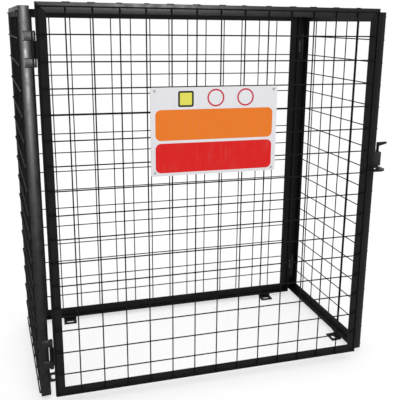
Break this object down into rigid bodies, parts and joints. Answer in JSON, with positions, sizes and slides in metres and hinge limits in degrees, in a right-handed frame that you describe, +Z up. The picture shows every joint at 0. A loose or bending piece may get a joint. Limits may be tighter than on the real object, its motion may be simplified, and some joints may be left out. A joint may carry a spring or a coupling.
{
  "type": "gas cylinder cage",
  "caption": "Folding steel mesh cage for gas cylinders, open at top and bottom, with a full-width front gate, a drop bolt and slotted floor lugs.",
  "frame": {"origin": "on the floor, under the middle of the cage's bounding box", "axes": "+Z up; the gate faces -Y and runs along X, its hinges at -X and its latch at +X"},
  "size_m": [1.2672, 0.5968, 1.247],
  "materials": {
    "frame_paint": "satin black powder coat",
    "mesh_paint": "satin black powder coat",
    "latch_paint": "satin dark grey paint",
    "sign_face": "semi-gloss white board"
  },
  "bodies": {
    "standing_panels": {"back_bottom_rail": "frame_paint", "back_left_stile": "frame_paint", "back_top_rail": "frame_paint", "back_right_stile": "frame_paint", "back_mesh": "mesh_paint", "left_bottom_rail": "frame_paint", "left_front_stile": "frame_paint", "left_top_rail": "frame_paint", "left_rear_stile": "frame_paint", "left_mesh": "mesh_paint", "gate_hinge_knuckles": "frame_paint", "gate_hinge_pins": "frame_paint", "right_hinge_knuckles": "frame_paint", "right_hinge_pins": "frame_paint", "left_hinge_knuckles": "frame_paint", "left_hinge_leaves": "frame_paint", "left_hinge_pins": "frame_paint", "back_left_lug": "frame_paint", "back_right_lug": "frame_paint", "left_lug": "frame_paint"},
    "gate": {"gate_bottom_rail": "frame_paint", "gate_latch_stile": "frame_paint", "gate_top_rail": "frame_paint", "gate_hinge_stile": "frame_paint", "gate_mesh": "mesh_paint", "gate_hinge_leaves": "frame_paint", "latch_tongue": "latch_paint", "sign_plate": "sign_face"},
    "right_side": {"right_bottom_rail": "frame_paint", "right_rear_stile": "frame_paint", "right_top_rail": "frame_paint", "right_front_stile": "frame_paint", "right_mesh": "mesh_paint", "right_hinge_leaves": "frame_paint", "right_lug": "frame_paint", "latch_sleeve": "latch_paint"},
    "latch_bolt": {"latch_bolt": "latch_paint"}
  },
  "joints": [
    {"name": "gate_swing", "type": "hinge", "parent": "standing_panels", "child": "gate", "pos_m": [-0.5378, -0.25145, 0.62], "axis": [0, 0, -1], "range_deg": [0, 95]},
    {"name": "right_side_fold", "type": "hinge", "parent": "standing_panels", "child": "right_side", "pos_m": [0.50877, 0.25645, 0.62], "axis": [0, 0, -1], "range_deg": [0, 93]},
    {"name": "latch_drop", "type": "slide", "parent": "right_side", "child": "latch_bolt", "axis": [0, 0, -1], "range_m": [0, 0.015]}
  ]
}
